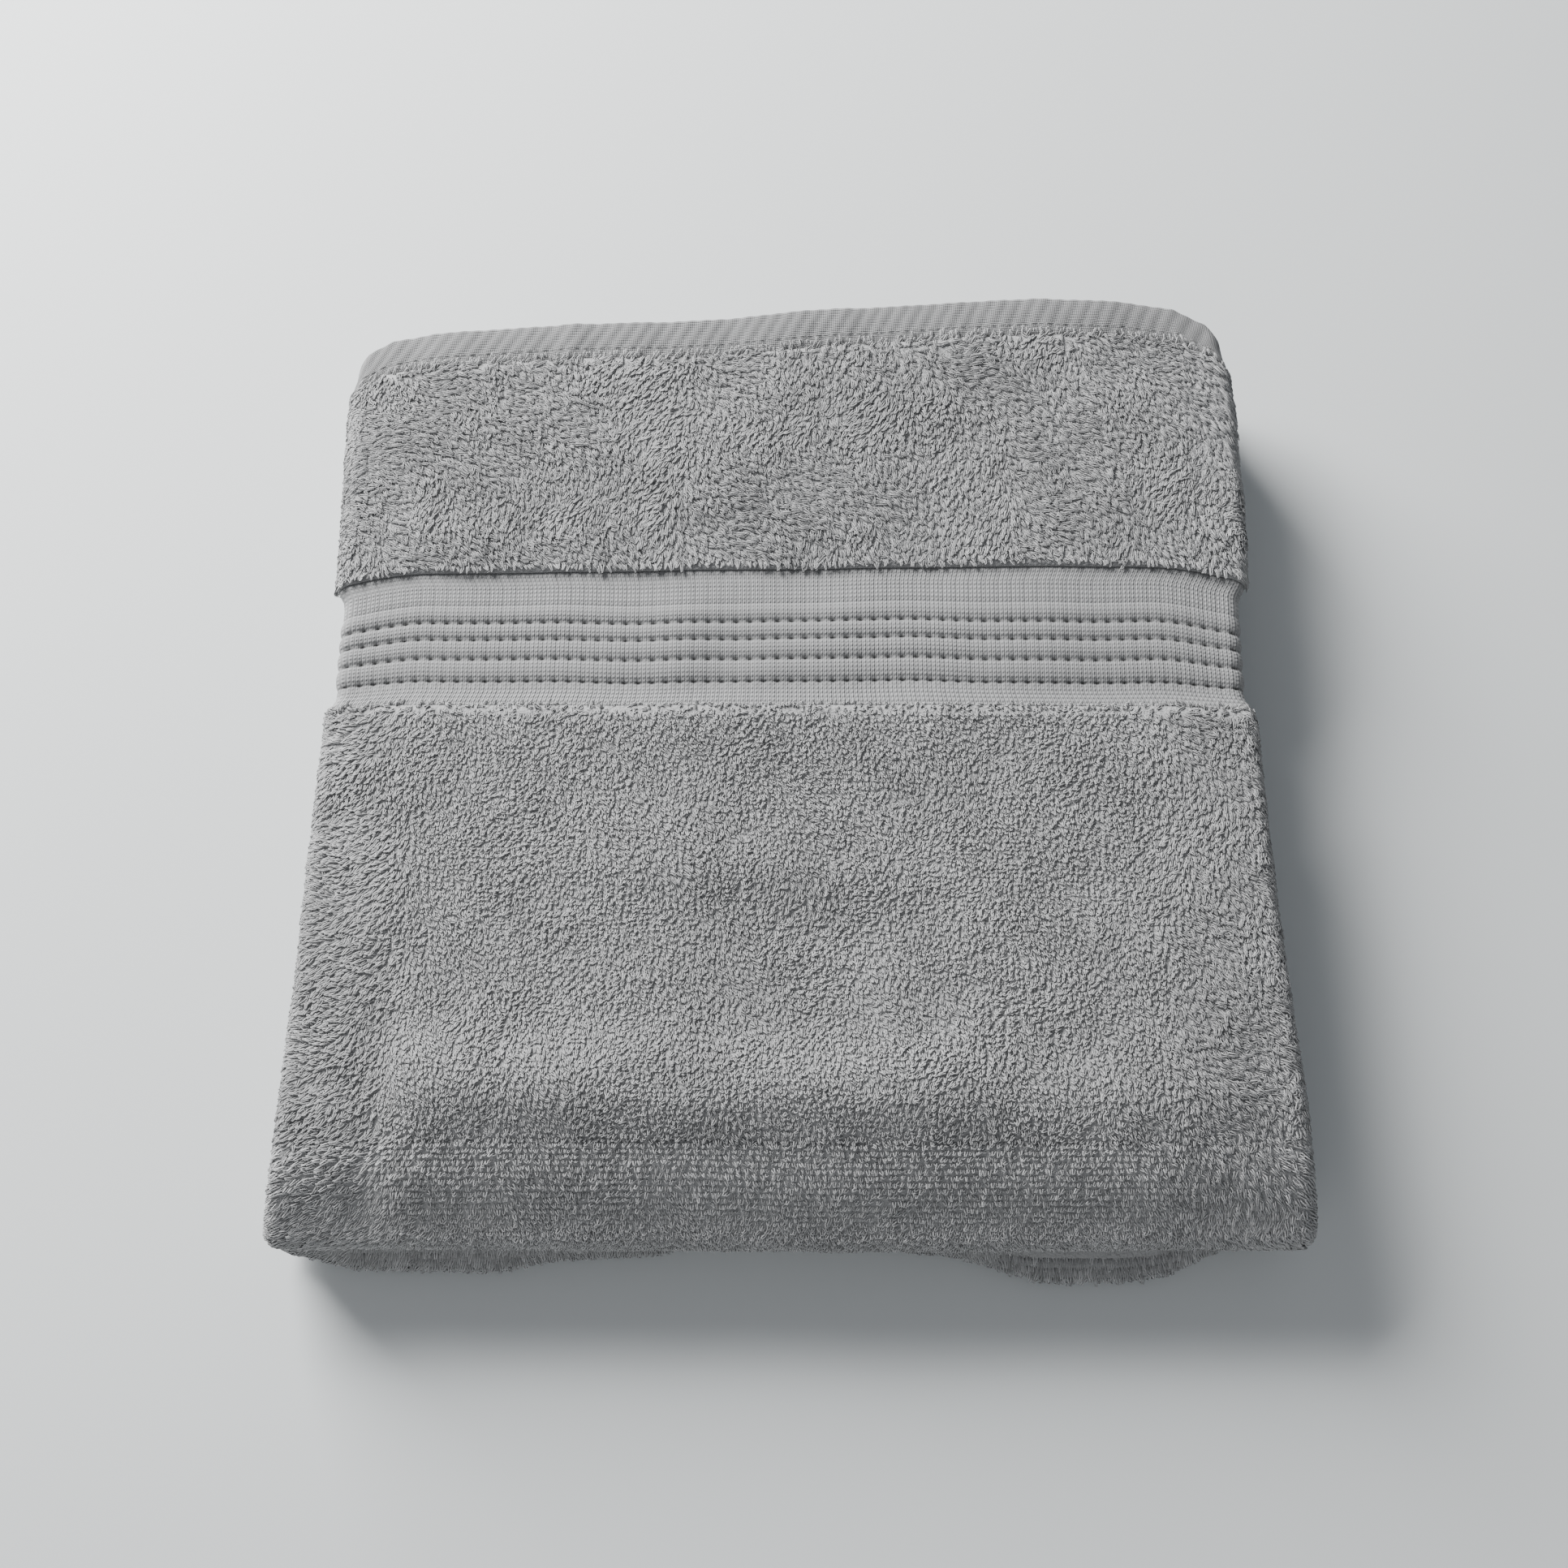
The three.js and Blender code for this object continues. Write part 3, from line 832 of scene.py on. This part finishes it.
# Upper inner ply and its end
inner_end = inner_at(INNER_END_Y)
inner_border = inner_at(INNER_END_Y - HEM_LENGTH - STRIP_LENGTH - BORDER_LENGTH)
upper = terry("inner_upper_cloth", STARTS[INNER_PLY], inner_border)
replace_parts(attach(upper, "inner_ply"), "inner_upper_panel", *["inner_upper_" + n for n in WHOLE_SIDES])
piles("inner_upper_pile", STARTS[INNER_PLY], inner_border, 2.7, 2.8, lay_inside, 160,
      (-PILE_EDGE, 0, PILE_EDGE), "inner_ply")


def mirrored_relief(relief, end):
    """The relief of the top ply's end, laid the other way for the inner end."""
    return lambda u, s: relief(0)(u, end - s)


inner_cuts = [inner_border, inner_border + BORDER_LENGTH,
              inner_border + BORDER_LENGTH + STRIP_LENGTH, inner_end]
obj = woven("inner_border_cloth", inner_cuts[0], inner_cuts[1], WEAVE, BORDER,
            mirrored_relief(border_relief, inner_cuts[1]), 74)
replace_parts(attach(obj, "inner_ply"), "inner_dobby_border")
obj = terry("inner_strip_cloth", inner_cuts[1], inner_cuts[2])
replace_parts(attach(obj, "inner_ply"), "inner_end_strip")
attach(pile("inner_strip_pile", inner_cuts[1], inner_cuts[2], 2.7, 2.8, lay_inside, 165), "inner_ply")
obj = woven("inner_hem_cloth", inner_cuts[2], inner_cuts[3], HEM, HEMS,
            mirrored_relief(hem_relief, inner_cuts[3]), 20)
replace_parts(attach(obj, "inner_ply"), "inner_end_hem")


STITCH_PITCH, STITCH_HALF, STITCH_RADIUS = 3.2, 1.25, .22  # half is half a stitch's length


def stitches(name, s, body, node):
    """A row of short stitches along a hem."""
    u = np.arange(-FACE_HALF, FACE_HALF, STITCH_PITCH)
    t = np.linspace(-STITCH_HALF, STITCH_HALF, 7)
    us = u[:, None] + t[None]
    relief = hem_relief(s - (HEM_LENGTH - SEAM_INSET))(us, s + 0 * us)
    bow = .2 * np.cos(1.25 * t) - .1  # each stitch stands up in its middle
    offs = (HEM - LOOSE) / 2 + relief + bow[None]
    paths = place(us, s + 0 * us, offs)
    # A hair of curve, so that each stitch lies in a plane
    curve = np.array([0, 1e-4, 0]) * t[None, :, None] ** 2
    points, quads, caps = tubes(paths + curve, np.full(paths.shape[:2], STITCH_RADIUS))
    obj = new_object(name, points, [quads, caps], THREAD)
    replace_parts(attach(obj, body), node)


stitches("top_hem_stitches", at(HEM_NEAR) - SEAM_INSET, "top_ply", "top_hem_seam")
stitches("inner_hem_stitches", inner_cuts[2] + SEAM_INSET, "inner_ply", "inner_hem_seam")


# ---------------------------------------------------------------------------
# Floor, light and camera
# ---------------------------------------------------------------------------

# Metres here
FLOOR_HALF = 4.0
FLOOR_DROP = .0012  # room for the loops under the towel, which reach a little below z = 0
CAMERA_AIM = (0, 0, .026)
CAMERA_RISE, CAMERA_AWAY = math.radians(68.7), .75
LENS, SENSOR = 45.9, 36  # millimetres
SHIFT = (-.0047, -.0129)
SKY, SKY_STRENGTH = (.88, .93, 1.0, 1), .225


def floor():
    """The table top that the towel lies on."""
    mesh = bpy.data.meshes.new("floor")
    r = FLOOR_HALF
    mesh.from_pydata([(-r, -r, 0), (r, -r, 0), (r, r, 0), (-r, r, 0)], [], [(0, 1, 2, 3)])
    m = Nodes("floor")
    m.shader.inputs["Base Color"].default_value = (.76, .785, .785, 1)
    m.shader.inputs["Roughness"].default_value = .7
    mesh.materials.append(m.material)
    obj = bpy.data.objects.new("floor", mesh)
    obj.location.z = -FLOOR_DROP
    bpy.context.scene.collection.objects.link(obj)


def area_light(name, place_at, aim, size, power):
    """A square light, aimed at a point."""
    data = bpy.data.lights.new(name, "AREA")
    data.size, data.energy = size, power
    obj = bpy.data.objects.new(name, data)
    obj.location = place_at
    direction = np.array(aim, float) - np.array(place_at, float)
    obj.rotation_mode = "QUATERNION"
    obj.rotation_quaternion = Vector(direction).to_track_quat("-Z", "Y")
    bpy.context.scene.collection.objects.link(obj)


def camera():
    """The photograph's view, from above the front."""
    data = bpy.data.cameras.new("camera")
    data.lens, data.sensor_width = LENS, SENSOR
    data.shift_x, data.shift_y = SHIFT
    obj = bpy.data.objects.new("camera", data)
    back = Vector((0, -math.cos(CAMERA_RISE), math.sin(CAMERA_RISE)))
    obj.location = Vector(CAMERA_AIM) + back * CAMERA_AWAY
    obj.rotation_mode = "QUATERNION"
    obj.rotation_quaternion = (-back).to_track_quat("-Z", "Y")
    data.clip_start, data.clip_end = .05, 50
    bpy.context.scene.collection.objects.link(obj)
    bpy.context.scene.camera = obj


floor()
area_light("key", place_at=(-.95, 1.12, .80), aim=(0, .02, 0), size=1.0, power=92)
area_light("fill", place_at=(-.3, -1.3, .8), aim=(0, -.1, 0), size=1.2, power=4.2)
world = bpy.data.worlds.new("world")
world.use_nodes = True
world.node_tree.nodes["Background"].inputs[0].default_value = SKY
world.node_tree.nodes["Background"].inputs[1].default_value = SKY_STRENGTH
bpy.context.scene.world = world
camera()
